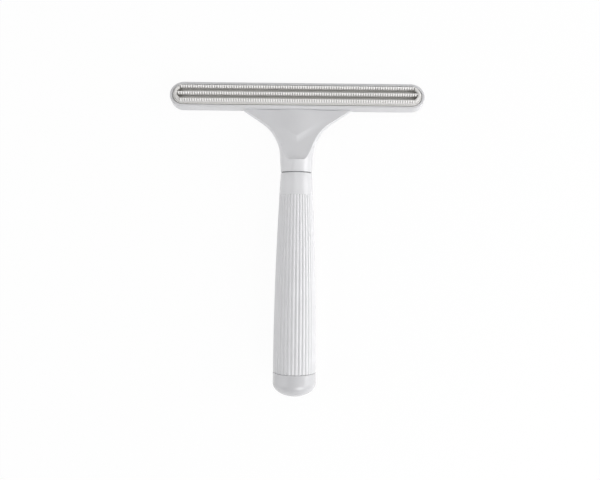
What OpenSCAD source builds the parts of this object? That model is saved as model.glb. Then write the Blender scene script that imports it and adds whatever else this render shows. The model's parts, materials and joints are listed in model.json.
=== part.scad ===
// Clothes brush: a wide, low head with a toothed rubber pad on a flared neck,
// and a fluted grip that screws on to the neck and is closed by a domed cap.
// The grip's axis runs along Y with the head at +Y. The brush lies on its back,
// teeth up, and the origin is under the middle of its bounding box.

/* [Head] */
// Width of the head over both round ends
head_w = 175.5; // [130:0.5:220]
// Height of the head's face, rim to rim
head_h = 18.8; // [17.6:0.2:24]
// Depth of the head from the rim to the back
head_d = 7.1; // [6.8:0.1:10]
// Thickness of the rim
head_wall = 1.8; // [1.4:0.1:2.2]
// Thickness of the head's back
head_floor = 1.4; // [1.2:0.1:1.8]
// Radius of the head's back edge
back_round = 1.6; // [0.6:0.1:2]
// Radius of the rim's outer edge
rim_round = 0.4; // [0.2:0.1:0.6]
// Angle at which the face leans away from the grip
face_tilt = 15.8; // [10:0.1:20]
// Distance from the neck's seam to the middle of the head, along the grip
head_reach = 52.9; // [48:0.1:70]

/* [Pad] */
// Gap all round between the pad or its carrier and the rim
pad_gap = 0.35; // [0.05:0.05:0.5]
// Thickness of the rubber under the ridges
pad_base = 2.0; // [1.6:0.1:3]
// How far the rubber stands above the rim
pad_proud = 0.2; // [0:0.1:0.6]
// Radius of the pad's upper edge
pad_round = 0.6; // [0.3:0.1:0.8]
// Distance between neighbouring ridges
ridge_pitch = 5; // [4.6:0.1:5.2]
// Thickness of a ridge
ridge_w = 2.1; // [1.6:0.1:2.4]
// Height of a ridge above the rubber
ridge_h = 3.7; // [2.5:0.1:5]
// Distance from one tooth to the next
tooth_pitch = 1.67; // [1.4:0.01:2.4]
// Width of the slot between two teeth, at the crest
tooth_slot = 0.74; // [0.4:0.02:0.9]
// Depth of the slot between two teeth
tooth_depth = 2; // [1:0.1:3.2]
// Length of ridge that stays smooth at the outside of each turn
smooth_end = 4; // [3:0.2:12]
// Radius of the studs that key the pad to its carrier
stud_r = 1.5; // [1:0.1:1.8]

/* [Carrier] */
// Thickness of the stiff plate under the pad
carrier_t = 1.3; // [1:0.1:1.6]
// Running gap round studs and screws
fit_gap = 0.05; // [0.02:0.01:0.1]
// Core radius of a carrier screw
screw_r = 1.1; // [0.9:0.1:1.3]
// Head radius of a carrier screw
screw_head_r = 2.0; // [1.8:0.1:2.3]
// Distance between the screws across the head
screw_x = 36; // [20:1:44]
// Distance between the screws up the head
screw_y = 6; // [5.4:0.2:7]

/* [Neck] */
// Diameter of the neck at the seam
neck_d = 21.1; // [20:0.1:25]
// Growth of the neck's diameter up to the flare
neck_growth = 1.2; // [0.4:0.1:3]
// Distance from the seam to where the flare starts
flare_start = 9; // [8:0.5:13]
// Radius of the flare's curved flanks
flare_r = 31; // [24:0.5:36]
// Angle of the straight part of the flanks, measured from the grip's axis
flank_angle = 56; // [46:1:60]
// Distance from the seam to the lower edge of the front facet
facet_start = 8; // [6:0.2:9.5]
// Depth of the step at the facet's lower edge
facet_step = 1.7; // [0.8:0.1:2.5]
// How far behind the rim the facet meets the head
facet_sink = 3.2; // [2.6:0.1:3.4]
// Radius of the facet's lower corners
facet_corner_r = 1.8; // [0.6:0.1:3]
// Width of the rounded border beside the facet, at the head
border_w = 1.6; // [1:0.1:2.5]
// Distance from the seam to the point of the facet's raised V
crease_start = 22.5; // [18:0.5:30]
// Height of the raised V above the rest of the facet
crease_rise = 0.6; // [0.1:0.1:0.8]
// Width of the tongue inside the head
tongue_w = 60; // [50:1:66]
// Length of the spigot inside the grip
spigot_l = 18; // [14:1:24]
// Radius of the spigot
spigot_r = 7; // [6:0.1:7.6]
// Radius of the blind core that lightens the neck
neck_core_r = 4.2; // [3:0.1:4.8]
// Distance that the core runs past the seam into the neck
neck_core_l = 12; // [4:0.5:14]

/* [Washer] */
// Thickness of the seal washer in the seam
washer_t = 0.6; // [0.4:0.1:1.5]
// How far the washer is set back from the neck's surface
washer_inset = 0.5; // [0.3:0.1:1]

/* [Grip] */
// Length of the grip between its seams
grip_l = 134.7; // [110:1:160]
// Largest diameter of the grip, at the cap
grip_d = 29.2; // [27:0.1:34]
// Length of the smooth collar
collar_l = 14.6; // [8:0.2:30]
// Number of flutes
flutes = 36; // [24:1:44]
// Depth of a flute
flute_depth = 0.55; // [0.2:0.05:0.7]
// Step from the collar down to the flutes
collar_step = 0.1; // [0.05:0.05:0.3]
// Length over which a flute fades in at the collar
flute_fade = 1.2; // [0.4:0.1:3]
// Thickness of the grip's wall at the cap
grip_wall = 2.7; // [2.2:0.1:3.2]

/* [Cap] */
// Length of the cap's straight band
cap_band = 7.3; // [4:0.1:12]
// Height of the cap's dome
cap_dome = 9.1; // [5:0.1:13]
// Thickness of the cap's wall
cap_wall = 2; // [1.4:0.1:2.6]
// Length of the plug inside the grip
plug_l = 10; // [6:0.5:16]
// Press of the plug in the grip
plug_press = 0.05; // [0.02:0.01:0.1]

/* [Hidden] */
$fn = 64;
eps = 0.01;

plastic = "#e9eaec";
rubber = "#dcd9d2";
steel = "#a8abb0";
grey = "#8c8f94";

// Head, in its own frame: x across, y up the face, z out of the face, origin at its middle
head_r = head_h / 2;
head_run = head_w - head_h;
front_z = head_d / 2;
floor_z = head_floor - front_z;
tray_r = head_r - head_wall;
insert_r = tray_r - pad_gap;
pad_top_z = front_z + pad_proud;
carrier_top_z = pad_top_z - pad_base;
carrier_z = carrier_top_z - carrier_t;
tongue_z = floor_z + fit_gap;
tongue_t = carrier_z - fit_gap - tongue_z;
tongue_y = screw_y / 2 + 2.5;

// Teeth
tooth_span = head_run + 2 * ridge_pitch - 2 * (smooth_end - ridge_w);
slots = floor(tooth_span / tooth_pitch);
slot_root = tooth_slot * 0.6;
crest_z = pad_top_z + ridge_h;

// Studs stand beside the tongue, in pairs to the left and to the right of it
stud_step = (head_run - tongue_w) / 6;
stud_x = [for (i = [1, 2, 3]) tongue_w / 2 + (i - 0.4) * stud_step];

// Head in the brush: its back edge lies level with the underside of the grip
back_reach = (front_z - back_round) * cos(face_tilt)
    + (head_r - back_round) * sin(face_tilt) + back_round;
axis_z = grip_d / 2;
head_z = back_reach - axis_z;
head_top = head_reach + (head_r - rim_round) * cos(face_tilt)
    + (front_z - rim_round) * sin(face_tilt) + rim_round;

// Grip and cap, measured down the axis from the seam
grip_start = washer_t;
grip_end = grip_start + grip_l;
cap_end = grip_end + cap_band + cap_dome;
socket_r = spigot_r + fit_gap;
socket_l = spigot_l + 3;
plug_seat_r = grip_d / 2 - grip_wall;
flute_start = grip_start + collar_l;
mid_y = (cap_end - head_top) / 2;

// Neck
neck_r = neck_d / 2;
flare_root_r = neck_r + neck_growth / 2;
facet_r = flare_half(facet_start);
facet_z = facet_r - facet_step;
edge_angle = asin(facet_z / facet_r);
facet_steps = 7;
seat = head_point(-head_r, front_z - facet_sink);
back_corner = head_point(-head_r, -front_z);
loft_end = seat[0] + 2;
edge_break = 0.3;
back_edge_r = 2.5;
crease_w = 5;
spigot_lead = 1;

// Where a point of the head's own frame lies along and above the grip's axis
function head_point(y, z) = [
    head_reach + y * cos(face_tilt) + z * sin(face_tilt),
    head_z - y * sin(face_tilt) + z * cos(face_tilt)
];
// Points of an arc about c, with radius r, from angle a to angle b
function arc(c, r, a, b, n = 8) =
    [for (i = [0:n]) let (t = a + (b - a) * i / n) [c[0] + r * cos(t), c[1] + r * sin(t)]];
// A value part of the way from a to b
function mix(a, b, t) = a + (b - a) * t;
// A value held between 0 and 1
function clamp01(t) = max(0, min(1, t));
// A value that eases from 0 to 1 with level ends
function ease(t) = let (u = clamp01(t)) u * u * (3 - 2 * u);
// Triangles that join rings of n points into a closed skin
function skin_faces(rings, n) = concat(
    [for (r = [0:rings - 2], i = [0:n - 1]) let (a = r * n + i, b = r * n + (i + 1) % n)
        each [[a, b, a + n], [b, b + n, a + n]]],
    [[for (i = [n - 1:-1:0]) i]],
    [[for (i = [0:n - 1]) (rings - 1) * n + i]]
);

// Puts a piece drawn in the head's frame where the head is
module in_head() {
    translate([0, head_reach, head_z])
        rotate([-face_tilt, 0, 0])
            children();
}

// Puts a piece drawn along +Z from the seam on to the grip's axis
module on_axis() {
    rotate([90, 0, 0])
        children();
}

// Puts the finished brush on its origin
module in_place() {
    translate([0, mid_y, axis_z])
        children();
}

// Carries a half section, drawn at x >= 0, round a racetrack of two straights and two half rounds
module racetrack(run) {
    for (side = [-1, 1])
        translate([side * run / 2, 0, 0])
            rotate([0, 0, -90 * side])
                rotate_extrude(angle = 180)
                    children();
    for (side = [0, 1])
        mirror([0, side, 0])
            translate([-run / 2, 0, 0])
                rotate([90, 0, 90])
                    linear_extrude(run)
                        children();
}

// Half section of the head's outside, grown by a gap
module head_section(grow = 0) {
    r = head_r + grow;
    z = front_z + grow;
    polygon(concat(
        [[0, z], [0, -z]],
        arc([r - back_round, back_round - z], back_round, -90, 0),
        arc([r - rim_round, z - rim_round], rim_round, 0, 90, 4)
    ));
}

// Half section of a plate that lies in the tray, with a round upper edge
module insert_section(z0, z1, round_r) {
    polygon(concat(
        [[0, z1], [0, z0], [insert_r, z0]],
        arc([insert_r - round_r, z1 - round_r], round_r, 0, 90, 4)
    ));
}

// Section of a ridge: straight flanks under a half-round crest
module ridge_section() {
    translate([-ridge_w / 2, pad_top_z - eps])
        square([ridge_w, ridge_h - ridge_w / 2 + eps]);
    translate([0, crest_z - ridge_w / 2])
        circle(r = ridge_w / 2);
}

// Slots between teeth as one comb that hangs over the ridges, as wide as given
module slot_comb(count, width) {
    top = crest_z + 1;
    half = count / 2 * tooth_pitch;
    first = -(count - 1) / 2 * tooth_pitch;
    grooves = [for (i = [0:count - 1]) let (x = first + i * tooth_pitch) each [
        [x - tooth_slot / 2, crest_z + eps],
        [x - slot_root / 2, crest_z - tooth_depth],
        [x + slot_root / 2, crest_z - tooth_depth],
        [x + tooth_slot / 2, crest_z + eps]
    ]];
    translate([0, width / 2, 0])
        rotate([90, 0, 0])
            linear_extrude(width)
                polygon(concat([[-half, top], [-half, crest_z + eps]], grooves,
                    [[half, crest_z + eps], [half, top]]));
}

module at_studs() {
    for (side = [-1, 1], x = stud_x)
        translate([side * x, 0, 0])
            children();
}

module at_screws() {
    for (x = [-1, 1], y = [-1, 1])
        translate([x * screw_x / 2, y * screw_y / 2, 0])
            children();
}

module head_frame() {
    color(plastic)
        in_head()
            difference() {
                racetrack(head_run)
                    head_section();
                racetrack(head_run)
                    translate([0, floor_z])
                        square([tray_r, head_d]);
                // slot that the neck's tongue passes
                translate([-tongue_w / 2 - fit_gap, -head_r - 1, floor_z])
                    cube([tongue_w + 2 * fit_gap, head_wall + 2, tongue_t + 2 * fit_gap]);
            }
}

module pad_carrier() {
    color(plastic)
        in_head()
            difference() {
                racetrack(head_run)
                    insert_section(carrier_z, carrier_top_z, eps);
                at_studs()
                    translate([0, 0, carrier_z - 1])
                        cylinder(r = stud_r + fit_gap, h = carrier_t + 2);
                at_screws()
                    screw(fit_gap);
            }
}

// One countersunk screw, grown by a gap where it is used as a cutter
module screw(grow = 0) {
    sink = screw_head_r - screw_r;
    length = carrier_t + tongue_t - 0.2;
    translate([0, 0, carrier_top_z - length])
        cylinder(r = screw_r + grow, h = length);
    translate([0, 0, carrier_top_z - sink])
        cylinder(r1 = screw_r + grow, r2 = screw_head_r + grow, h = sink + (grow > 0 ? eps : 0));
}

module carrier_screws() {
    color(steel)
        in_head()
            at_screws()
                screw();
}

module brush_pad() {
    color(rubber)
        in_head() {
            racetrack(head_run)
                insert_section(carrier_top_z, pad_top_z, pad_round);
            difference() {
                racetrack(head_run)
                    translate([ridge_pitch, 0])
                        ridge_section();
                slot_comb(slots, head_h);
            }
            // the middle ridge is slotted right up to the turns
            difference() {
                translate([-head_run / 2 - ridge_pitch, 0, 0])
                    rotate([90, 0, 90])
                        linear_extrude(head_run + 2 * ridge_pitch)
                            ridge_section();
                slot_comb(slots + 2, 2 * ridge_w);
            }
            at_studs()
                translate([0, 0, floor_z + 1])
                    cylinder(r = stud_r, h = carrier_top_z - floor_z);
        }
}

// Half width of the flare at a distance from the seam
function flare_half(y) =
    let (
        arc_y = flare_start + flare_r * sin(flank_angle),
        arc_w = flare_root_r + flare_r * (1 - cos(flank_angle))
    )
    y < flare_start ? mix(neck_r, flare_root_r, y / flare_start)
    : y < arc_y ? flare_root_r + flare_r * (1 - sqrt(1 - pow((y - flare_start) / flare_r, 2)))
    : arc_w + (y - arc_y) * tan(flank_angle);

// Height of the facet's raised V at a point; its arms run parallel to the straight flanks,
// and a hollow slope outside them runs out into the facet
function crease(x, y) =
    let (inside = (y - crease_start) * sin(flank_angle) - x * cos(flank_angle))
    crease_rise * pow(clamp01(inside / crease_w + 1), 2);

// Half of a neck section from the middle of its back to the edge of its front, as [x, z] points:
// a back corner and a front corner that turns up to an angle
function half_section(half, wide, back_rx, back_rz, front_rx, front_rz, turn, steps = 6) = concat(
    [[0, wide - back_rz]],
    [for (i = [0:steps]) let (a = -84 * (1 - i / steps))
        [half - back_rx * (1 - cos(a)), wide + back_rz * sin(a)]],
    [for (i = [1:steps]) let (a = turn * i / steps)
        [half - front_rx * (1 - cos(a)), wide + front_rz * sin(a)]]
);

// Both halves of a section as points at a distance y from the seam
function whole_section(y, right) = concat(
    [for (p = right) [p[0], y, p[1]]],
    [for (i = [len(right) - 1:-1:1]) [-right[i][0], y, right[i][1]]]
);

// Section of the round neck
function round_section(y, r) = whole_section(y, concat(
    half_section(r, 0, r, r, r, r, edge_angle),
    [for (i = [1:facet_steps]) let (a = mix(edge_angle, 90, i / (facet_steps + 1))) [r * cos(a), r * sin(a)]]
));

// Section of the flare: a front facet between round borders, and a round back that gets flatter.
// At the facet's lower corners the front turns further, and a low wall drops to the facet.
function flare_section(y) =
    let (
        half = flare_half(y),
        t = (y - facet_start) / (seat[0] - facet_start),
        front = mix(facet_z, seat[1], t),
        back = mix(-facet_r, back_corner[1], clamp01(t)),
        wide = mix(0, (seat[1] + back_corner[1]) / 2, ease(t)),
        border = mix(border_w, facet_r * (1 - cos(edge_angle)), pow(1 - clamp01(t), 7)),
        from_corner = max(0, facet_corner_r - (y - facet_start)),
        corner = facet_corner_r - sqrt(pow(facet_corner_r, 2) - pow(from_corner, 2)),
        front_rx = border / (1 - cos(edge_angle)),
        facet_half = half - border - corner
    )
    whole_section(y, concat(
        half_section(
            half, wide,
            mix(facet_r, back_edge_r, ease(t * 1.6)), wide - back,
            front_rx, (front - wide) / sin(edge_angle), acos(1 - (border + corner) / front_rx)
        ),
        [for (i = [1:facet_steps]) let (x = facet_half * (1 - (i - 0.8) / (facet_steps - 0.3)))
            [x, front + crease(x, y)]]
    ));

// The neck's outside: a round stub with a step to the facet, then the flare up into the head
module neck_skin() {
    rings = 22;
    corner_end = facet_start + facet_corner_r;
    sections = concat(
        [round_section(0, neck_r - edge_break), round_section(edge_break, neck_r)],
        [round_section(facet_start, facet_r), flare_section(facet_start + edge_break)],
        [flare_section(mix(facet_start + edge_break, corner_end, 0.4))],
        [for (i = [0:rings]) flare_section(mix(corner_end, loft_end, i / rings))]
    );
    polyhedron(points = [for (s = sections) each s], faces = skin_faces(len(sections), len(sections[0])));
}

module flared_neck() {
    color(plastic)
        difference() {
            union() {
                on_axis()
                    rotate_extrude()
                        polygon([[0, -1], [spigot_r, -1], [spigot_r, spigot_l - spigot_lead],
                            [spigot_r - spigot_lead, spigot_l], [0, spigot_l]]);
                difference() {
                    neck_skin();
                    in_head()
                        racetrack(head_run)
                            head_section(fit_gap);
                }
                in_head()
                    translate([-tongue_w / 2, -head_r - 0.6, tongue_z])
                        cube([tongue_w, head_r + 0.6 + tongue_y, tongue_t]);
            }
            on_axis()
                translate([0, 0, -neck_core_l])
                    cylinder(r = neck_core_r, h = neck_core_l + spigot_l + 1);
            in_head()
                at_screws()
                    translate([0, 0, tongue_z - 1])
                        cylinder(r = screw_r - 0.15, h = tongue_t + 2);
        }
}

module seal_washer() {
    color(grey)
        on_axis()
            difference() {
                cylinder(r = neck_r - washer_inset, h = washer_t);
                translate([0, 0, -1])
                    cylinder(r = spigot_r + 0.3, h = washer_t + 2);
            }
}

// Radius of the grip's smooth outline at a distance from the seam: one long flat arc
function grip_r(s) = mix(neck_r, grip_d / 2, 1 - pow(1 - s / grip_end, 2));

// One ring of the fluted skin; five points make a land and the hollow beside it
function grip_ring(s, depth, inset = 0) =
    let (step = 360 / flutes)
    [for (i = [0:flutes - 1], p = [[-0.22, 0], [0.22, 0], [0.36, 0.75], [0.5, 1], [0.64, 0.75]])
        let (a = (i + 0.5 + p[0]) * step, r = grip_r(s) - inset - depth * p[1])
        [r * cos(a), r * sin(a), s]];

// The grip's outside: smooth up to the flutes, which fade in and run past the end to be cut square
module fluted_skin() {
    fade_end = flute_start + flute_fade;
    runs = 6;
    rings = concat(
        [grip_ring(grip_start, 0, edge_break), grip_ring(grip_start + edge_break, 0)],
        [grip_ring((grip_start + flute_start) / 2, 0), grip_ring(flute_start, 0)],
        [grip_ring(flute_start + collar_step, 0, collar_step)],
        [for (i = [0:runs]) grip_ring(mix(fade_end, grip_end + 1, i / runs), flute_depth, collar_step)]
    );
    polyhedron(points = [for (r = rings) each r],
        faces = [for (f = skin_faces(len(rings), len(rings[0]))) [for (i = [len(f) - 1:-1:0]) f[i]]]);
}

module fluted_grip() {
    hollow_start = grip_start + socket_l + 3;
    color(plastic)
        on_axis()
            difference() {
                intersection() {
                    fluted_skin();
                    cylinder(r = grip_d, h = grip_end);
                }
                translate([0, 0, -1])
                    cylinder(r = socket_r, h = socket_l + 8);
                // hollow, wider towards the cap, and the seat of the cap's plug
                rotate_extrude()
                    polygon([[0, hollow_start], [grip_r(hollow_start) - grip_wall - 0.6, hollow_start],
                        [plug_seat_r - 0.4, grip_end - plug_l - 1], [plug_seat_r, grip_end - plug_l - 0.5],
                        [plug_seat_r, grip_end + 1], [0, grip_end + 1]]);
            }
}

module end_cap() {
    r = grip_d / 2;
    plug_r = plug_seat_r + plug_press;
    band_end = grip_end + cap_band;
    dome = [for (i = [0:12]) let (a = 90 * i / 12) [r * cos(a), band_end + cap_dome * sin(a)]];
    bore = [for (i = [0:8]) let (a = 90 * i / 8)
        [(plug_r - cap_wall) * cos(a), band_end - 2 + cap_dome * sin(a)]];
    color(plastic)
        on_axis()
            rotate_extrude()
                polygon(concat(
                    [[plug_r - cap_wall, grip_end - plug_l], [plug_r - 0.5, grip_end - plug_l],
                        [plug_r, grip_end - plug_l + 0.5], [plug_r, grip_end],
                        [r - edge_break, grip_end], [r, grip_end + edge_break]],
                    dome,
                    [for (i = [8:-1:0]) bore[i]]
                ));
}

in_place() head_frame();
in_place() pad_carrier();
in_place() carrier_screws();
in_place() brush_pad();
in_place() flared_neck();
in_place() seal_washer();
in_place() fluted_grip();
in_place() end_cap();
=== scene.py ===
import json
import math

import bmesh
import bpy
from mathutils import Matrix, Vector

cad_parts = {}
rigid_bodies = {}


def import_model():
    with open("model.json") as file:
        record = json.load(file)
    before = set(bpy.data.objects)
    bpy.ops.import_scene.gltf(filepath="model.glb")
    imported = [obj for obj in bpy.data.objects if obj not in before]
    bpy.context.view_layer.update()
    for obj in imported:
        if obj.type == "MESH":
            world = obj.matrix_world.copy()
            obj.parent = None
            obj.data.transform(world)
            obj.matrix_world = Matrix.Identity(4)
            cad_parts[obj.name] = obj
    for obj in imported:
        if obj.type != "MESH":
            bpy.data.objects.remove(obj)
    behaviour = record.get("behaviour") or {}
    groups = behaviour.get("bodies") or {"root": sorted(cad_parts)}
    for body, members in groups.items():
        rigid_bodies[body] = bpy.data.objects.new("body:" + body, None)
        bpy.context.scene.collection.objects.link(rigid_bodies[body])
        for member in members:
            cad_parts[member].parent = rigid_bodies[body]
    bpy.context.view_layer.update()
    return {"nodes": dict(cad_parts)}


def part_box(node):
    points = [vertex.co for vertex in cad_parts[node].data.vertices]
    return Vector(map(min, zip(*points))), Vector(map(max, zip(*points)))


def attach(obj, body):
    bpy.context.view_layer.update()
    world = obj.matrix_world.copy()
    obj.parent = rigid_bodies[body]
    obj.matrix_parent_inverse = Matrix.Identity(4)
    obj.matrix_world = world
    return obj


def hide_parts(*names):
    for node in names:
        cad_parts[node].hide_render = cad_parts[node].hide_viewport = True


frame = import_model()

# ---------------------------------------------------------------- head frame
# A long shallow tray with round ends, injection-moulded in glossy off-white ABS.
# Its mouth leans away from the grip, its back edge is well rounded, and a slot
# in its lower wall takes the tongue of the neck.

mm = 0.001
near = 0.1 * mm  # a face or an edge this near to a place is taken as lying there
head_low, head_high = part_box("head_frame")
head_w = head_high.x - head_low.x
head_h = 18.8 * mm
head_d = 7.1 * mm
head_wall = 1.8 * mm
head_floor = 1.4 * mm
back_round = 1.6 * mm
floor_round = 0.5 * mm
rim_round = 0.4 * mm
mouth_round = 0.25 * mm
face_tilt = math.radians(15.8)

head_r = head_h / 2
mouth_r = head_r - head_wall
head_run = head_w - head_h
front_z = head_d / 2
floor_z = head_floor - front_z
head_y = head_high.y - (
    (head_r - rim_round) * math.cos(face_tilt)
    + (front_z - rim_round) * math.sin(face_tilt)
    + rim_round
)
head_z = head_low.z + (
    (front_z - back_round) * math.cos(face_tilt)
    + (head_r - back_round) * math.sin(face_tilt)
    + back_round
)
head_place = Matrix.Translation((0, head_y, head_z)) @ Matrix.Rotation(-face_tilt, 4, "X")


def begin(add, name, **how):
    """Adds a primitive with nothing else selected, names it and opens it for editing."""
    bpy.ops.object.select_all(action="DESELECT")
    add(**how)
    bpy.ops.object.transform_apply(location=True, rotation=True, scale=True)
    piece = bpy.context.object
    piece.name = name
    bpy.ops.object.mode_set(mode="EDIT")
    return piece


def choose(kind, test):
    """Selects the vertices, edges or faces of the open piece whose middle passes a test."""
    bpy.ops.mesh.select_mode(type=kind)
    bpy.ops.mesh.select_all(action="DESELECT")
    mesh = bmesh.from_edit_mesh(bpy.context.object.data)
    for part in {"VERT": mesh.verts, "EDGE": mesh.edges, "FACE": mesh.faces}[kind]:
        corners = [part] if kind == "VERT" else part.verts
        if test(sum((v.co for v in corners), Vector()) / len(corners)):
            part.select_set(True)
    mesh.select_flush_mode()
    bmesh.update_edit_mesh(bpy.context.object.data)


def extrude(move):
    """Extrudes the selected face by a vector."""
    bpy.ops.mesh.extrude_region_move(TRANSFORM_OT_translate={"value": move})


def stadium(name, radius, run, z):
    """Opens a new flat disc with two straight sides and two round ends, at a height z."""
    steps = 98
    piece = begin(
        bpy.ops.mesh.primitive_circle_add, name,
        vertices=steps, radius=radius, fill_type="NGON", rotation=(0, 0, math.pi / steps),
    )
    bpy.ops.transform.resize(value=(1, 1 / math.cos(math.pi / steps), 1), center_override=(0, 0, 0))
    for side in (-1, 1):
        choose("VERT", lambda p: p.x * side > 0)
        bpy.ops.transform.translate(value=(side * run / 2, 0, 0))
    bpy.ops.mesh.select_all(action="SELECT")
    bpy.ops.transform.translate(value=(0, 0, z))
    return piece


def off_line(p, run):
    """Distance of a point from the straight line between the centres of a stadium's ends."""
    return math.hypot(max(abs(p.x) - run / 2, 0), p.y)


def rounded(radius, steps, test):
    """Rounds the edges of the open piece that pass a test."""
    choose("EDGE", test)
    bpy.ops.mesh.bevel(offset=radius, segments=steps, affect="EDGES", clamp_overlap=True)


def finish_mesh(piece, angle=30, weighted=True):
    """Closes a piece's editing with clean outward normals and smooth shading up to an angle."""
    bpy.ops.mesh.select_all(action="SELECT")
    bpy.ops.mesh.remove_doubles(threshold=0.001 * mm)
    bpy.ops.mesh.normals_make_consistent(inside=False)
    bpy.ops.object.mode_set(mode="OBJECT")
    shade(piece, angle, weighted)


def shade(piece, angle=30, weighted=True):
    """Smooth shading up to an angle, with normals that favour the large faces."""
    bpy.ops.object.select_all(action="DESELECT")
    piece.select_set(True)
    bpy.context.view_layer.objects.active = piece
    bpy.ops.object.shade_smooth_by_angle(angle=math.radians(angle))
    if weighted:
        apply_modifier(piece, "WEIGHTED_NORMAL", keep_sharp=True, weight=60)


def apply_modifier(piece, kind, **settings):
    """Adds a modifier with these settings and applies it."""
    bpy.context.view_layer.objects.active = piece
    modifier = piece.modifiers.new(kind.lower(), kind)
    for key, value in settings.items():
        setattr(modifier, key, value)
    bpy.ops.object.modifier_apply(modifier=modifier.name)


def combine(piece, other, operation):
    """Joins another solid to a piece, or cuts it away, and removes that other solid."""
    apply_modifier(
        piece, "BOOLEAN", object=other, operation=operation, solver="EXACT", use_self=True
    )
    bpy.data.objects.remove(other)


def put(piece, place):
    """Moves a finished piece's mesh to its place in the brush."""
    piece.data.transform(place)
    piece.data.update()


def box(name, size, middle):
    """Opens a new box of a size round a middle point."""
    piece = begin(bpy.ops.mesh.primitive_cube_add, name, size=1)
    bpy.ops.transform.resize(value=size, center_override=(0, 0, 0))
    bpy.ops.transform.translate(value=middle)
    return piece


head_shell = stadium("head_shell", head_r, head_run, front_z)
extrude((0, 0, -head_d))
choose("FACE", lambda p: p.z > front_z - near)
bpy.ops.mesh.inset(thickness=head_wall)
extrude((0, 0, floor_z - front_z))
rounded(back_round, 6, lambda p: p.z < near - front_z)
rounded(floor_round, 4, lambda p: abs(p.z - floor_z) < near)
rounded(rim_round, 4, lambda p: p.z > front_z - near and off_line(p, head_run) > head_r - rim_round)
rounded(mouth_round, 3, lambda p: p.z > front_z - near and off_line(p, head_run) < mouth_r + near)
finish_mesh(head_shell)

# the slot for the tongue in the lower wall
tongue_w = 60 * mm
tongue_gap = 0.05 * mm
tongue_t = 1.9 * mm
slot_corner_r = 0.3 * mm
slot_cutter = box(
    "slot_cutter", (tongue_w + 2 * tongue_gap, 2 * head_wall, tongue_t + 2 * tongue_gap),
    (0, -head_r, floor_z + tongue_t / 2 + tongue_gap),
)
rounded(
    slot_corner_r, 3,
    lambda p: abs(abs(p.x) - tongue_w / 2) < near and abs(p.y + head_r) < head_wall / 2,
)
bpy.ops.object.mode_set(mode="OBJECT")
combine(head_shell, slot_cutter, "DIFFERENCE")
shade(head_shell)
put(head_shell, head_place)


def nodes_of(name):
    """A new material with its node tree and its shader."""
    material = bpy.data.materials.new(name)
    material.use_nodes = True
    tree = material.node_tree
    return material, tree, tree.nodes["Principled BSDF"]


def noise(tree, scale, detail=3, stretch=(1, 1, 1)):
    """A noise in object space; scale is in cells per metre."""
    place = tree.nodes.new("ShaderNodeTexCoord")
    mapping = tree.nodes.new("ShaderNodeMapping")
    mapping.inputs["Scale"].default_value = stretch
    texture = tree.nodes.new("ShaderNodeTexNoise")
    texture.inputs["Scale"].default_value = scale
    texture.inputs["Detail"].default_value = detail
    tree.links.new(place.outputs["Object"], mapping.inputs["Vector"])
    tree.links.new(mapping.outputs["Vector"], texture.inputs["Vector"])
    return texture.outputs["Fac"]


def spread(tree, source, low, high):
    """Maps the middle of a noise to a range of values."""
    ramp = tree.nodes.new("ShaderNodeMapRange")
    ramp.inputs["From Min"].default_value = 0.3
    ramp.inputs["From Max"].default_value = 0.7
    ramp.inputs["To Min"].default_value = low
    ramp.inputs["To Max"].default_value = high
    tree.links.new(source, ramp.inputs["Value"])
    return ramp.outputs["Result"]


def tint(tree, source, colours):
    """A colour ramp over the middle of a noise."""
    ramp = tree.nodes.new("ShaderNodeValToRGB")
    ramp.color_ramp.elements[0].position = 0.3
    ramp.color_ramp.elements[1].position = 0.7
    for element, colour in zip(ramp.color_ramp.elements, colours):
        element.color = (*colour, 1)
    tree.links.new(source, ramp.inputs["Fac"])
    return ramp.outputs["Color"]


def relief(tree, shader, source, depth):
    """Bump of a given depth in metres under the shader's gloss."""
    bump = tree.nodes.new("ShaderNodeBump")
    bump.inputs["Distance"].default_value = depth
    tree.links.new(source, bump.inputs["Height"])
    tree.links.new(bump.outputs["Normal"], shader.inputs["Normal"])


def moulded(name, colours, gloss, grain, grain_depth):
    """Glossy moulded plastic: a faint cloud in its colour, an uneven polish and a fine grain."""
    material, tree, shader = nodes_of(name)
    shader.inputs["IOR"].default_value = 1.53
    tree.links.new(tint(tree, noise(tree, 90), colours), shader.inputs["Base Color"])
    tree.links.new(spread(tree, noise(tree, 260, 5), *gloss), shader.inputs["Roughness"])
    relief(tree, shader, noise(tree, grain, 2), grain_depth)
    return material


abs_white = moulded(
    "abs_white", ((0.69, 0.69, 0.705), (0.71, 0.71, 0.725)), (0.28, 0.34), 2500, 0.001 * mm
)
head_shell.data.materials.append(abs_white)
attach(head_shell, "head")
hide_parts("head_frame")

# ---------------------------------------------------------------- pad carrier
# The stiff plate under the rubber, moulded in the same plastic as the head but left
# matt because it is never seen. The pad's studs and four screws pass through it.

carrier_plastic = moulded(
    "carrier_plastic", ((0.60, 0.60, 0.61), (0.64, 0.64, 0.65)), (0.5, 0.62), 900, 0.03 * mm
)
carrier = frame["nodes"]["pad_carrier"]
carrier.data.materials.clear()
carrier.data.materials.append(carrier_plastic)

# ---------------------------------------------------------------- carrier screws
# Four countersunk screws that pull the carrier down on the neck's tongue. They are
# rolled steel with a thin bright zinc plating.


def plated(name):
    """Zinc-plated steel: a patchy bright coat over fine turning marks."""
    material, tree, shader = nodes_of(name)
    shader.inputs["Metallic"].default_value = 1
    colours = ((0.52, 0.53, 0.55), (0.62, 0.63, 0.64))
    tree.links.new(tint(tree, noise(tree, 700, 6), colours), shader.inputs["Base Color"])
    tree.links.new(spread(tree, noise(tree, 500, 4), 0.28, 0.45), shader.inputs["Roughness"])
    relief(tree, shader, noise(tree, 2500, 2, (1, 1, 4)), 0.01 * mm)
    return material


screws = frame["nodes"]["carrier_screws"]
screws.data.materials.clear()
screws.data.materials.append(plated("zinc_plate"))

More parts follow.
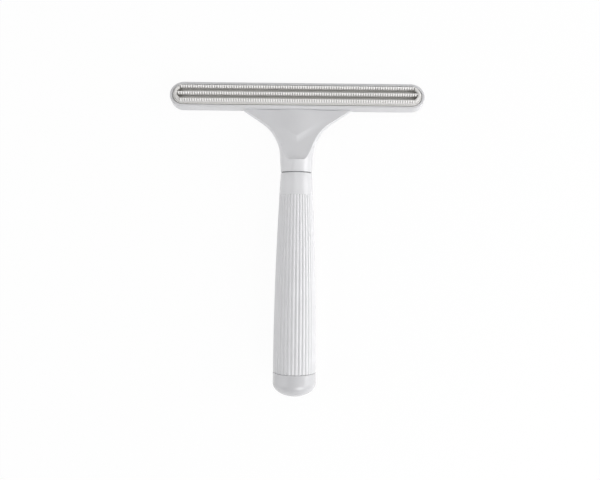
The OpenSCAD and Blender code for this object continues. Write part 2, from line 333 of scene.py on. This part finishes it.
# ---------------------------------------------------------------- brush pad
# One moulding of warm white rubber: a slab that fills the tray, and on it an outer
# ridge that runs round like a racetrack with a straight ridge along its middle.
# Narrow slots cut the ridges into teeth, but leave a low web and the turns whole.

pad_gap = 0.35 * mm
pad_base = 2.0 * mm
pad_proud = 0.2 * mm
pad_round = 0.6 * mm
sunk = 0.1 * mm  # how far one part of the moulding reaches into another
ridge_pitch = 5 * mm
ridge_w = 2.1 * mm
ridge_h = 3.7 * mm
ridge_shift = 0.5 * mm
tooth_pitch = 1.67 * mm
tooth_slot = 0.74 * mm
smooth_end = 4 * mm

insert_r = mouth_r - pad_gap
pad_top = front_z + pad_proud
tooth_span = head_run + 2 * ridge_pitch - 2 * (smooth_end - ridge_w)
slots = math.floor(tooth_span / tooth_pitch)
toothed_half = (slots - 1) / 2 * tooth_pitch + tooth_slot / 2

pad = stadium("pad", insert_r, head_run, pad_top - pad_base)
extrude((0, 0, pad_base))
rounded(pad_round, 4, lambda p: p.z > pad_top - near)
finish_mesh(pad)

# the webs between the teeth
web_low = 1.2 * mm
web_inset = 0.02 * mm
shoulder_drop = 0.12 * mm
shoulder_turn = math.radians(80)
# share of painted highlight on the tops of the webs
web_painted_highlight = 0.4


def mark_painted_highlight(piece, amount, height):
    """Marks the part of a piece above a height over the slab for a painted highlight, which also holds off
    the painted shade.
    """
    marks = piece.data.attributes.new("painted_highlight", "FLOAT", "POINT").data
    for mark, vertex in zip(marks, piece.data.vertices):
        mark.value = amount if vertex.co.z > pad_top + height else 0


def web(y, length):
    """The web between a row's teeth: low towards the grip, with a round shoulder on the other side."""
    half_w = ridge_w / 2 - web_inset
    shoulder_steps = 7
    profile = [(-half_w, web_low), (-half_w, -sunk), (half_w, -sunk)]
    for i in range(shoulder_steps + 1):
        a = shoulder_turn * i / shoulder_steps
        profile.append((half_w * math.cos(a), ridge_h - shoulder_drop - half_w * (1 - math.sin(a))))
    piece = begin(bpy.ops.mesh.primitive_circle_add, "web", vertices=len(profile), fill_type="NGON")
    mesh = bmesh.from_edit_mesh(piece.data)
    for vertex, (across, up) in zip(sorted(mesh.verts, key=lambda v: v.index), profile):
        vertex.co = (-length / 2, y + across, pad_top + up)
    bmesh.update_edit_mesh(piece.data)
    extrude((length, 0, 0))
    finish_mesh(piece)
    mark_painted_highlight(piece, web_painted_highlight, web_low - sunk)
    return piece


webs = [web(0, head_run + 2 * ridge_pitch)]
webs += [web(side * ridge_pitch, 2 * (toothed_half + sunk)) for side in (-1, 1)]

# a tooth, wider at its foot because the slots beside it are tapered
tooth_w = tooth_pitch - tooth_slot
foot_spread = 0.2 * tooth_slot
foot_z = pad_top + web_low - sunk
tooth_h = pad_top + ridge_h - foot_z
tooth_edge = 0.13 * mm


def rounded_crest(test):
    """Makes the crest of an open ridge half round."""
    rounded(0.97 * ridge_w / 2, 7, lambda p: p.z > pad_top + ridge_h - near and test(p))


tooth = box("tooth", (tooth_w, ridge_w, tooth_h), (0, 0, foot_z + tooth_h / 2))
rounded_crest(lambda p: abs(p.y) > ridge_w / 2 - near)
rounded(tooth_edge, 2, lambda p: abs(p.x) > tooth_w / 2 - near / 2 and p.z > foot_z + near)
for side in (-1, 1):
    choose("VERT", lambda p: p.z < foot_z + near and p.x * side > near)
    bpy.ops.transform.translate(value=(side * foot_spread, 0, 0))
finish_mesh(tooth, 60, weighted=False)
# the teeth get the whole painted highlight
mark_painted_highlight(tooth, 1, web_low)


def copied(piece, place):
    """A copy of a piece, with its own mesh, moved by a matrix."""
    bpy.ops.object.select_all(action="DESELECT")
    piece.select_set(True)
    bpy.context.view_layer.objects.active = piece
    bpy.ops.object.duplicate()
    put(bpy.context.object, place)
    return bpy.context.object


def tooth_row(count, y):
    """A straight row of equal teeth, set out from the middle of the pad."""
    row = copied(tooth, Matrix.Translation((-(count - 1) / 2 * tooth_pitch, y, 0)))
    apply_modifier(
        row, "ARRAY", count=count, use_relative_offset=False,
        use_constant_offset=True, constant_offset_displace=(tooth_pitch, 0, 0),
    )
    return row


# the middle row has one more tooth at each end, right up to the turns
rows = [tooth_row(slots + 1, 0), tooth_row(slots - 1, -ridge_pitch), tooth_row(slots - 1, ridge_pitch)]
bpy.data.objects.remove(tooth)

# the whole ridge round one turn, cut off square at the last slot
turn_end = stadium("turn_end", ridge_pitch + ridge_w / 2, head_run, pad_top - sunk)
bpy.ops.mesh.inset(thickness=ridge_w)
bpy.ops.mesh.delete(type="FACE")
bpy.ops.mesh.select_all(action="SELECT")
extrude((0, 0, ridge_h + sunk))
rounded_crest(lambda p: abs(off_line(p, head_run) - ridge_pitch) > 0.3 * ridge_w)
bpy.ops.mesh.select_all(action="SELECT")
bpy.ops.mesh.bisect(
    plane_co=(toothed_half, 0, 0), plane_no=(1, 0, 0), use_fill=True, clear_inner=True
)
finish_mesh(turn_end, 50, weighted=False)
ends = [turn_end, copied(turn_end, Matrix.Rotation(math.pi, 4, "Z"))]

# studs under the slab, three on each side of the tongue, which pass through the carrier
stud_r = 1.5 * mm
stud_round = 0.3 * mm
stud_foot = floor_z + 1 * mm
stud_step = (head_run - tongue_w) / 6
stud_l = pad_top - pad_base - stud_foot + sunk
stud = begin(
    bpy.ops.mesh.primitive_cylinder_add, "stud", vertices=32, radius=stud_r, depth=stud_l,
    location=(0, 0, stud_foot + stud_l / 2),
)
rounded(stud_round, 2, lambda p: p.z < stud_foot + near)
finish_mesh(stud)
stud_places = [side * (tongue_w / 2 + (i - 0.4) * stud_step) for side in (-1, 1) for i in (1, 2, 3)]
studs = [copied(stud, Matrix.Translation((x, 0, 0))) for x in stud_places]
bpy.data.objects.remove(stud)


def joined(piece, others):
    """Joins other pieces to a piece as one mesh."""
    bpy.ops.object.select_all(action="DESELECT")
    for other in (piece, *others):
        other.select_set(True)
    bpy.context.view_layer.objects.active = piece
    bpy.ops.object.join()


# the ridges sit a little nearer the grip than the middle of the slab
for piece in (*webs, *rows, *ends):
    put(piece, Matrix.Translation((0, -ridge_shift, 0)))
joined(pad, [*webs, *rows, *ends, *studs])
put(pad, head_place)


def soft_moulded(name, colours, gloss, grain, grain_depth):
    """Satin moulded rubber: a milky colour with a little depth and a dry, fine-grained skin."""
    material = moulded(name, colours, gloss, grain, grain_depth)
    shader = material.node_tree.nodes["Principled BSDF"]
    shader.inputs["IOR"].default_value = 1.45
    shader.inputs["Sheen Weight"].default_value = 0.15
    shader.inputs["Sheen Roughness"].default_value = 0.4
    return material


def mixed(tree, factor, low, high):
    """A colour that goes from low to high with a factor; either may be a colour or a socket."""
    mixer = tree.nodes.new("ShaderNodeMix")
    mixer.data_type = "RGBA"
    tree.links.new(factor, mixer.inputs["Factor"])
    for socket, value in ((mixer.inputs["A"], low), (mixer.inputs["B"], high)):
        if isinstance(value, tuple):
            socket.default_value = (*value, 1)
        else:
            tree.links.new(value, socket)
    return mixer.outputs["Result"]


# painted shade: ambient occlusion greys the rubber in its corners, at the feet of the ridges and in the
# slots, and a painted highlight lightens the teeth and the tops of the webs
painted_shade_grey = (0.2, 0.19, 0.17)
painted_highlight_white = (0.94, 0.93, 0.92)
pad_rubber = soft_moulded(
    "pad_rubber", ((0.69, 0.68, 0.665), (0.73, 0.72, 0.705)), (0.42, 0.55), 2600, 0.01 * mm
)
tree = pad_rubber.node_tree
pad_finish = tree.nodes["Principled BSDF"]
# ambient occlusion finds the corners that take painted shade
corner = tree.nodes.new("ShaderNodeAmbientOcclusion")
corner.samples = 8
corner.inputs["Distance"].default_value = 3.5 * mm
# share of the rubber's own colour here, the rest being painted shade
clear = tree.nodes.new("ShaderNodeMapRange")
clear.inputs["From Min"].default_value = 0.2
clear.inputs["From Max"].default_value = 0.7
tree.links.new(corner.outputs["AO"], clear.inputs["Value"])
tips = tree.nodes.new("ShaderNodeAttribute")
tips.attribute_name = "painted_highlight"
# the painted highlight also keeps the painted shade off the teeth and webs
clean = tree.nodes.new("ShaderNodeMath")
clean.operation = "MAXIMUM"
tree.links.new(clear.outputs["Result"], clean.inputs[0])
tree.links.new(tips.outputs["Fac"], clean.inputs[1])
plain = pad_finish.inputs["Base Color"].links[0].from_socket
# painted highlight: the teeth's colour goes towards white
rubber = mixed(tree, tips.outputs["Fac"], plain, painted_highlight_white)
tree.links.new(mixed(tree, clean.outputs[0], painted_shade_grey, rubber), pad_finish.inputs["Base Color"])
pad.data.materials.append(pad_rubber)
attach(pad, "head")
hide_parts("brush_pad")

# ---------------------------------------------------------------- flared neck
# The neck is moulded in the same white plastic. It starts as a round stub, is cut
# flat in front, and spreads into the head, which its tongue enters under the pad.
# Behind the seam it carries a hollow threaded spigot that the grip screws on to.

washer_low, washer_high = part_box("seal_washer")
seam_y = washer_high.y
axis_z = (washer_low.z + washer_high.z) / 2
neck_r = 10.55 * mm
neck_growth = 0.6 * mm
flare_start = 9 * mm
flare_r = 31 * mm
flank_angle = math.radians(56)
facet_start = 8 * mm
facet_step = 1.7 * mm
facet_sink = 3.2 * mm
facet_corner_r = 1.8 * mm
crease_start = 24.5 * mm
crease_rise = 1.2 * mm
crease_w = 5 * mm
crease_reach = 19 * mm
border_w = 1.6 * mm
border_taper = 7  # the higher, the sooner the border has its width
back_edge_r = 2.5 * mm
back_taper = 1.6  # the higher, the sooner the back is flat
edge_break = 0.35 * mm
edge_middle = 0.1 * mm
edge_middle_drop = 0.16 * mm
front_steps = 24


def mix(a, b, t):
    """A value part of the way from a to b."""
    return a + (b - a) * t


def ease(t):
    """A value that eases from 0 to 1 with level ends."""
    t = max(0.0, min(1.0, t))
    return t * t * (3 - 2 * t)


def from_seam(y, z):
    """How far a point of the head's own frame lies from the neck's seam and above the grip's axis."""
    p = head_place @ Vector((0, y, z))
    return p.y - seam_y, p.z - axis_z


seat_d, seat_z = from_seam(-head_r, front_z - facet_sink)
back_z = from_seam(-head_r, -front_z)[1]


def flare_half(d):
    """Half the width of the neck at a distance from its seam."""
    arc_d = flare_start + flare_r * math.sin(flank_angle)
    root_r = neck_r + neck_growth
    if d < flare_start:
        return mix(neck_r, root_r, d / flare_start)
    if d < arc_d:
        return root_r + flare_r * (1 - math.sqrt(1 - ((d - flare_start) / flare_r) ** 2))
    return root_r + flare_r * (1 - math.cos(flank_angle)) + (d - arc_d) * math.tan(flank_angle)


facet_r = flare_half(facet_start)
facet_z = facet_r - facet_step
edge_angle = math.asin(facet_z / facet_r)
edge_cut = 1 - math.cos(edge_angle)


def corner_points(half, wide, back_rx, back_rz, front_rx, front_rz, front_turn):
    """A section's right half, from the middle of its back round the back corner and the front corner.

    It reaches out to half at a height wide, and rx and rz are a corner's reach across and up.
    """
    back_turn = math.radians(84)
    back_steps = 8
    side_steps = 10
    points = [(0, wide - back_rz)]
    for i in range(back_steps + 1):
        a = -back_turn * (1 - i / back_steps)
        points.append((half - back_rx * (1 - math.cos(a)), wide + back_rz * math.sin(a)))
    for i in range(1, side_steps + 1):
        a = front_turn * i / side_steps
        points.append((half - front_rx * (1 - math.cos(a)), wide + front_rz * math.sin(a)))
    return points


def both_sides(right):
    """A whole section from its right half; the first point lies on the middle."""
    return right + [(-x, z) for x, z in right[:0:-1]]


def round_section(radius):
    """Points of the round neck's section, as (x, z) pairs round the axis."""
    right = corner_points(radius, 0, radius, radius, radius, radius, edge_angle)
    for i in range(1, front_steps + 1):
        a = mix(edge_angle, math.pi / 2, i / (front_steps + 1))
        right.append((radius * math.cos(a), radius * math.sin(a)))
    return both_sides(right)


def crease(x, d):
    """Height of the facet's raised V, whose arms run parallel to the straight flanks and fade out."""
    inside = (d - crease_start) * math.sin(flank_angle) - x * math.cos(flank_angle)
    return crease_rise * ease(1 - x / crease_reach) * max(0, min(1, inside / crease_w + 1)) ** 2


def flare_section(d):
    """Points of the flare's section: a front facet between round borders over a flatter back."""
    half = flare_half(d)
    t = (d - facet_start) / (seat_d - facet_start)
    front = mix(facet_z, seat_z, t)
    wide = mix(0, (seat_z + back_z) / 2, ease(t))
    border = mix(border_w, facet_r * edge_cut, (1 - min(1, t)) ** border_taper)
    from_corner = max(0, facet_corner_r - (d - facet_start))
    corner = facet_corner_r - math.sqrt(facet_corner_r**2 - from_corner**2)
    front_rx = border / edge_cut
    right = corner_points(
        half, wide, mix(facet_r, back_edge_r, ease(back_taper * t)), wide - mix(-facet_r, back_z, min(1, t)),
        front_rx, (front - wide) / math.sin(edge_angle), math.acos(1 - (border + corner) / front_rx),
    )
    # the facet's points, the first close to the border and the last half a step from the middle
    for i in range(1, front_steps + 1):
        x = (half - border - corner) * (1 - (i - 0.8) / (front_steps - 0.3))
        right.append((x, front + crease(x, d)))
    return both_sides(right)


def set_ring(d, points):
    """Puts the selected ring of the open piece on a section at a distance from the seam."""
    mesh = bmesh.from_edit_mesh(bpy.context.object.data)
    loop = sorted((v for v in mesh.verts if v.select), key=lambda v: v.index)
    for vertex, (x, z) in zip(loop, points):
        vertex.co = (x, seam_y + d, axis_z + z)
    bmesh.update_edit_mesh(bpy.context.object.data)


rings = 72
corner_rings = 6
corner_end = facet_start + facet_corner_r
loft_end = seat_d + 2 * mm
sections = [(0, round_section(neck_r - edge_break))]
sections.append((edge_middle, round_section(neck_r - edge_middle_drop)))
sections += [(d, round_section(flare_half(d))) for d in (edge_break, facet_start / 2, facet_start)]
for i in range(corner_rings):
    d = mix(facet_start, corner_end, ((i + 0.4) / corner_rings) ** 1.5)
    sections.append((d, flare_section(d)))
for i in range(rings + 1):
    d = mix(corner_end, loft_end, i / rings)
    sections.append((d, flare_section(d)))
neck = begin(
    bpy.ops.mesh.primitive_circle_add, "neck", vertices=len(sections[0][1]), radius=neck_r,
    rotation=(math.pi / 2, 0, 0), fill_type="NGON",
)
set_ring(*sections[0])
for d, points in sections[1:]:
    extrude((0, near, 0))
    set_ring(d, points)
finish_mesh(neck)

# the neck ends just inside the face of the head's wall, and a thin shadow gap shows between them
seam_gap = 0.12 * mm
cut_past = 3 * mm
wall_cutter = stadium("wall_cutter", head_r + seam_gap, head_run, front_z + cut_past)
extrude((0, 0, -head_d - 2 * cut_past))
finish_mesh(wall_cutter)
put(wall_cutter, head_place)
combine(neck, wall_cutter, "DIFFERENCE")

# tongue under the carrier, with a pilot hole for each screw
screw_x = 36 * mm
screw_y = 6 * mm
pilot_r = 0.95 * mm
tongue_root = 0.6 * mm
tongue_rim = 2.5 * mm
tongue_corner_r = 1.5 * mm
tongue_z = floor_z + tongue_gap
tongue_low = -head_r - tongue_root
tongue_high = screw_y / 2 + tongue_rim
tongue = box(
    "tongue", (tongue_w, tongue_high - tongue_low, tongue_t),
    (0, (tongue_low + tongue_high) / 2, tongue_z + tongue_t / 2),
)
rounded(tongue_corner_r, 4, lambda p: abs(p.x) > tongue_w / 2 - near and p.y > tongue_high - near)
finish_mesh(tongue)
for x in (-1, 1):
    for y in (-1, 1):
        pilot = begin(
            bpy.ops.mesh.primitive_cylinder_add, "pilot", vertices=32, radius=pilot_r, depth=3 * tongue_t,
            location=(x * screw_x / 2, y * screw_y / 2, tongue_z),
        )
        finish_mesh(pilot)
        combine(tongue, pilot, "DIFFERENCE")
put(tongue, head_place)
combine(neck, tongue, "UNION")


def ring(name, radius, distance, steps):
    """Opens a new ring round the grip's axis, at a distance towards the grip from the neck's seam."""
    return begin(
        bpy.ops.mesh.primitive_circle_add, name, vertices=steps, radius=radius,
        rotation=(math.pi / 2, 0, 0), location=(0, seam_y - distance, axis_z),
    )


def turn(outline):
    """Extrudes and resizes the open ring from point to point of an outline of (radius, distance) pairs."""
    for (r0, d0), (r1, d1) in zip(outline, outline[1:]):
        bpy.ops.mesh.extrude_edges_move(TRANSFORM_OT_translate={"value": (0, d0 - d1, 0)})
        bpy.ops.transform.resize(
            value=(r1 / r0, 1, r1 / r0), center_override=(0, seam_y - d1, axis_z)
        )


# spigot behind the seam, with a coarse right-hand thread
spigot_l = 18 * mm
spigot_r = 7 * mm
spigot_foot = 1 * mm
spigot_chamfer = 0.6 * mm
shoulder_l = 1.6 * mm
thread_root = 6.35 * mm
thread_sunk = 0.05 * mm
core_r = 4.2 * mm
core_l = 12 * mm
pitch = 4 * mm
turn_steps = 96
spigot_outline = [
    (core_r, -spigot_foot), (spigot_r, -spigot_foot), (spigot_r, shoulder_l),
    (thread_root, shoulder_l + spigot_chamfer), (thread_root, spigot_l - spigot_chamfer),
    (thread_root - spigot_chamfer, spigot_l), (core_r, spigot_l),
]
spigot = ring("spigot", *spigot_outline[0], turn_steps)
bpy.ops.mesh.select_all(action="SELECT")
turn(spigot_outline + spigot_outline[:1])
finish_mesh(spigot, 35)


def thread(name, root, crest, root_half, crest_half, start, turns):
    """A helical ridge round the grip's axis: a trapezoid between two radii, starting at a distance."""
    piece = begin(bpy.ops.mesh.primitive_plane_add, name, size=1)
    bpy.ops.transform.resize(value=(abs(crest - root), 2 * root_half, 1), center_override=(0, 0, 0))
    bpy.ops.transform.translate(value=((root + crest) / 2, 0, 0))
    choose("VERT", lambda p: abs(p.x - crest) < near)
    bpy.ops.transform.resize(value=(1, crest_half / root_half, 1), center_override=(0, 0, 0))
    bpy.ops.object.mode_set(mode="OBJECT")
    apply_modifier(
        piece, "SCREW", axis="Y", angle=2 * math.pi * turns, steps=round(turn_steps * turns),
        screw_offset=pitch * turns, iterations=1,
    )
    bpy.ops.object.mode_set(mode="EDIT")
    finish_mesh(piece, 35)
    put(piece, Matrix.Translation((0, seam_y - start - pitch * turns, axis_z)))
    return piece


neck_thread = thread(
    "neck_thread", root=thread_root - thread_sunk, crest=spigot_r,
    root_half=0.95 * mm, crest_half=0.5 * mm, start=3.6 * mm, turns=3,
)
combine(spigot, neck_thread, "UNION")
core = ring("core", core_r, 0, 64)
bpy.ops.mesh.edge_face_add()
extrude((0, core_l, 0))
finish_mesh(core)
combine(neck, core, "DIFFERENCE")
combine(neck, spigot, "UNION")
shade(neck, 25)
neck.data.materials.append(abs_white)
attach(neck, "head")
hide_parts("flared_neck")

# ---------------------------------------------------------------- seal washer
# A thin ring of dark grey rubber squeezed in the seam, set a little back from the
# surface, so that it shows as a fine dark line between neck and grip.

seal_rubber = soft_moulded(
    "seal_rubber", ((0.16, 0.165, 0.17), (0.2, 0.205, 0.21)), (0.6, 0.75), 2200, 0.02 * mm
)
washer = frame["nodes"]["seal_washer"]
washer.data.materials.clear()
washer.data.materials.append(seal_rubber)

# ---------------------------------------------------------------- fluted grip
# A hollow, slightly bellied tube in the white plastic: a smooth collar with the
# threaded socket behind it, then thirty-six flutes that start on one line and run
# out at the cap. Its far end is open for the cap's plug.

grip_low, grip_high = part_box("fluted_grip")
grip_start = seam_y - grip_high.y
grip_end = seam_y - grip_low.y
grip_r = 14.6 * mm
grip_wall = 2.7 * mm
collar_l = 14.6 * mm
collar_step = 0.1 * mm
flutes = 36
per_flute = 8
flute_depth = 0.55 * mm
flute_fade = 1.2 * mm
fade_shares = (0.1, 0.35, 0.7)
flute_shape = ((0, 1), (1, 0.86), (2, 0.3))  # steps from a flute's middle, share of its depth
socket_r = 7.05 * mm
socket_l = 24 * mm
lead_in_r = 0.5 * mm
lead_in_l = 0.6 * mm
bore_step = 0.6 * mm
plug_l = 10 * mm
plug_room = 0.5 * mm
seat_step = 0.4 * mm
on_ring = 0.01 * mm  # a point this near to a ring of points is taken as lying on it

seat_r = grip_r - grip_wall
seat_end = grip_end - plug_l - plug_room
socket_end = grip_start + socket_l
flute_start = grip_start + collar_l


def grip_radius(d):
    """Radius of the grip's outline at a distance from the seam: one long flat arc, with a small step."""
    step = collar_step if d > flute_start + on_ring else 0
    return mix(neck_r, grip_r, 1 - (1 - d / grip_end) ** 2) - step


def edge_arc(radius, d, into, corner=edge_break, steps=3):
    """Points that round an outer end edge; into is 1 where the piece goes on past d, or -1."""
    angles = [math.pi / 2 * i / steps for i in range(steps + 1)]
    points = [
        (radius - corner * (1 - math.sin(a)), d + into * corner * (1 - math.cos(a))) for a in angles
    ]
    return points if into > 0 else points[::-1]


belly_steps = 16
belly = [mix(flute_start + flute_fade, grip_end, i / belly_steps) for i in range(1, belly_steps)]
collar = [grip_start + 5 * mm, grip_start + 10 * mm, flute_start]
fade = [flute_start + flute_fade * share for share in (*fade_shares, 1)]
outer = edge_arc(grip_radius(grip_start), grip_start, 1)
outer += [(grip_radius(d), d) for d in (*collar, *fade, *belly)]
outer += edge_arc(grip_radius(grip_end), grip_end, -1, 0.15 * mm, 2)
inner = [
    (seat_r + seat_step, grip_end), (seat_r, grip_end - seat_step),
    (seat_r, seat_end), (seat_r - seat_step, seat_end - plug_room),
    (grip_radius(socket_end) - grip_wall - bore_step, socket_end), (socket_r, socket_end),
    (socket_r, grip_start + lead_in_l), (socket_r + lead_in_r, grip_start),
]
grip = ring("grip", *outer[0], flutes * per_flute)
bpy.ops.mesh.select_all(action="SELECT")
turn(outer + inner + outer[:1])
bpy.ops.mesh.select_all(action="SELECT")
bpy.ops.mesh.remove_doubles(threshold=0.001 * mm)


def in_flute(p, step, first, last):
    """Whether a point of the grip's outside lies so many steps from the middle of a flute."""
    d = seam_y - p.y
    r = math.hypot(p.x, p.z - axis_z)
    if not first - on_ring < d < last + on_ring or r < grip_radius(d) - flute_depth:
        return False
    turn_share = math.atan2(p.x, p.z - axis_z) / (2 * math.pi) * flutes
    return abs(abs(turn_share - round(turn_share)) * per_flute - step) < 0.1


# the flutes' bottoms start in a quarter round behind the collar
zones = [(d, d, math.sqrt(1 - (1 - part) ** 2)) for d, part in zip(fade, fade_shares)]
zones.append((fade[-1], grip_end, 1))
for step, share in flute_shape:
    for first, last, grown in zones:
        choose("VERT", lambda p: in_flute(p, step, first, last))
        narrowed = 1 - flute_depth / grip_r * share * grown
        bpy.ops.transform.resize(value=(narrowed, 1, narrowed), center_override=(0, 0, axis_z))
finish_mesh(grip, 40, weighted=False)
grip_thread = thread(
    "grip_thread", root=socket_r + thread_sunk, crest=thread_root + 0.12 * mm,
    root_half=0.75 * mm, crest_half=0.35 * mm, start=1.6 * mm, turns=4.5,
)
combine(grip, grip_thread, "UNION")
shade(grip, 40, weighted=False)
grip.data.materials.append(abs_white)
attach(grip, "grip")
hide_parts("fluted_grip")

# ---------------------------------------------------------------- end cap
# A domed cap, moulded in a glossier white plastic, whose colour is darkened a little from the
# grip's white as painted shade. Its hollow plug is pressed into the grip for good, and its short
# straight band lies flush with the tops of the flutes, past a fine shadow gap.

cap_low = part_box("end_cap")[0]
cap_end = seam_y - cap_low.y
cap_dome = 9.1 * mm
cap_wall = 2 * mm
cap_gap = 0.22 * mm
gap_depth = 0.9 * mm
plug_chamfer = 0.5 * mm
plug_start = grip_end - plug_l
band_end = cap_end - cap_dome
bore_r = seat_r - cap_wall


def dome(radius, start, steps):
    """Points of the dome's oval curve, from its foot at a distance to the last one before its top."""
    angles = [math.pi / 2 * i / steps for i in range(steps)]
    return [(radius * math.cos(a), start + cap_dome * math.sin(a)) for a in angles]


plug_outline = [
    (bore_r, plug_start), (seat_r - plug_chamfer, plug_start), (seat_r, plug_start + plug_chamfer),
    (seat_r, grip_end), (grip_r - gap_depth, grip_end), (grip_r - gap_depth, grip_end + cap_gap),
]
cap = ring("cap", bore_r, plug_start, 128)
bpy.ops.mesh.select_all(action="SELECT")
turn(plug_outline + edge_arc(grip_r, grip_end + cap_gap, 1, 0.2 * mm) + dome(grip_r, band_end, 20))
bpy.ops.mesh.edge_face_add()
bpy.ops.mesh.inset(thickness=0.3 * mm)
bpy.ops.mesh.merge(type="CENTER")


def on_bore_rim(p):
    """Whether a point lies on the rim of the plug's hollow."""
    return abs(seam_y - p.y - plug_start) < on_ring and math.hypot(p.x, p.z - axis_z) < bore_r + near


choose("EDGE", on_bore_rim)
turn([(bore_r, plug_start), *dome(bore_r, band_end - cap_wall, 10)])
bpy.ops.mesh.edge_face_add()
finish_mesh(cap, 35)
# the grip's white darkened a little as painted shade on the cap; its lower roughness is real gloss
cap_painted_shade_white = moulded(
    "cap_painted_shade_white", ((0.59, 0.59, 0.605), (0.61, 0.61, 0.625)), (0.16, 0.22), 2500, 0.001 * mm
)
cap.data.materials.append(cap_painted_shade_white)
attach(cap, "grip")
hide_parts("end_cap")

# ---------------------------------------------------------------- floor, light and camera
# The brush lies on its back on a plain white floor and is seen from straight above.
# Soft lamps light it from the left, the right and the front, and two weaker ones from
# the back and the top.

# the cube, lamp and camera of a new file
for unused in [o for o in bpy.data.objects if o.type in ("LIGHT", "CAMERA") or o.name == "Cube"]:
    bpy.data.objects.remove(unused)
floor = begin(bpy.ops.mesh.primitive_plane_add, "floor", size=6)
bpy.ops.object.mode_set(mode="OBJECT")
floor_paint, tree, paint = nodes_of("floor_paint")
paint.inputs["Base Color"].default_value = (0.9, 0.9, 0.9, 1)
paint.inputs["Roughness"].default_value = 0.8
paint.inputs["Specular IOR Level"].default_value = 0


def seen_directly(tree):
    """1 for what the camera, a gloss or a clear material sees of a surface, and 0 for its light."""
    path = tree.nodes.new("ShaderNodeLightPath")
    total = None
    for ray in ("Is Camera Ray", "Is Glossy Ray", "Is Transmission Ray"):
        if total is None:
            total = path.outputs[ray]
            continue
        larger = tree.nodes.new("ShaderNodeMath")
        larger.operation = "MAXIMUM"
        tree.links.new(total, larger.inputs[0])
        tree.links.new(path.outputs[ray], larger.inputs[1])
        total = larger.outputs[0]
    return total


whiteness = tree.nodes.new("ShaderNodeMath")
whiteness.operation = "MULTIPLY"
whiteness.inputs[1].default_value = 0.95
tree.links.new(seen_directly(tree), whiteness.inputs[0])
glow = tree.nodes.new("ShaderNodeEmission")
blend = tree.nodes.new("ShaderNodeMixShader")
tree.links.new(whiteness.outputs[0], blend.inputs["Fac"])
tree.links.new(paint.outputs["BSDF"], blend.inputs[1])
tree.links.new(glow.outputs["Emission"], blend.inputs[2])
tree.links.new(blend.outputs["Shader"], tree.nodes["Material Output"].inputs["Surface"])
floor.data.materials.append(floor_paint)

world = bpy.data.worlds.new("studio")
bpy.context.scene.world = world
world.use_nodes = True
tree = world.node_tree
sky = tree.nodes["Background"]
strength = tree.nodes.new("ShaderNodeMapRange")
strength.inputs["To Min"].default_value = 0.12
strength.inputs["To Max"].default_value = 1
path = tree.nodes.new("ShaderNodeLightPath")
tree.links.new(path.outputs["Is Camera Ray"], strength.inputs["Value"])
tree.links.new(strength.outputs["Result"], sky.inputs["Strength"])
sky.inputs["Color"].default_value = (1, 1, 1, 1)


def softbox(name, place, size, power):
    """A square lamp of a size in metres, at a place, aimed at the middle of the brush."""
    light = bpy.data.lights.new(name, "AREA")
    light.size = size
    light.energy = power
    lamp = bpy.data.objects.new(name, light)
    lamp.location = place
    lamp.rotation_euler = (-Vector(place)).to_track_quat("-Z", "Y").to_euler()
    bpy.context.scene.collection.objects.link(lamp)


softbox("right_lamp", (0.94, 0, 0.34), 0.6, 5)
softbox("left_lamp", (-0.91, 0, 0.42), 1.2, 6.8)
softbox("back_lamp", (0.47, 0.81, 0.34), 0.6, 1.9)
softbox("top_lamp", (0, 0.34, 0.94), 0.6, 1.8)
softbox("front_lamp", (0.45, -0.65, 0.62), 0.6, 5)

lens = bpy.data.cameras.new("camera")
lens.lens = 41.4
lens.sensor_width = 36
camera = bpy.data.objects.new("camera", lens)
camera.location = (0.00295, -0.00136, 0.4838)
camera.rotation_euler = (0, 0, math.radians(0.62))
bpy.context.scene.collection.objects.link(camera)
bpy.context.scene.camera = camera
bpy.context.scene.view_settings.view_transform = "Standard"
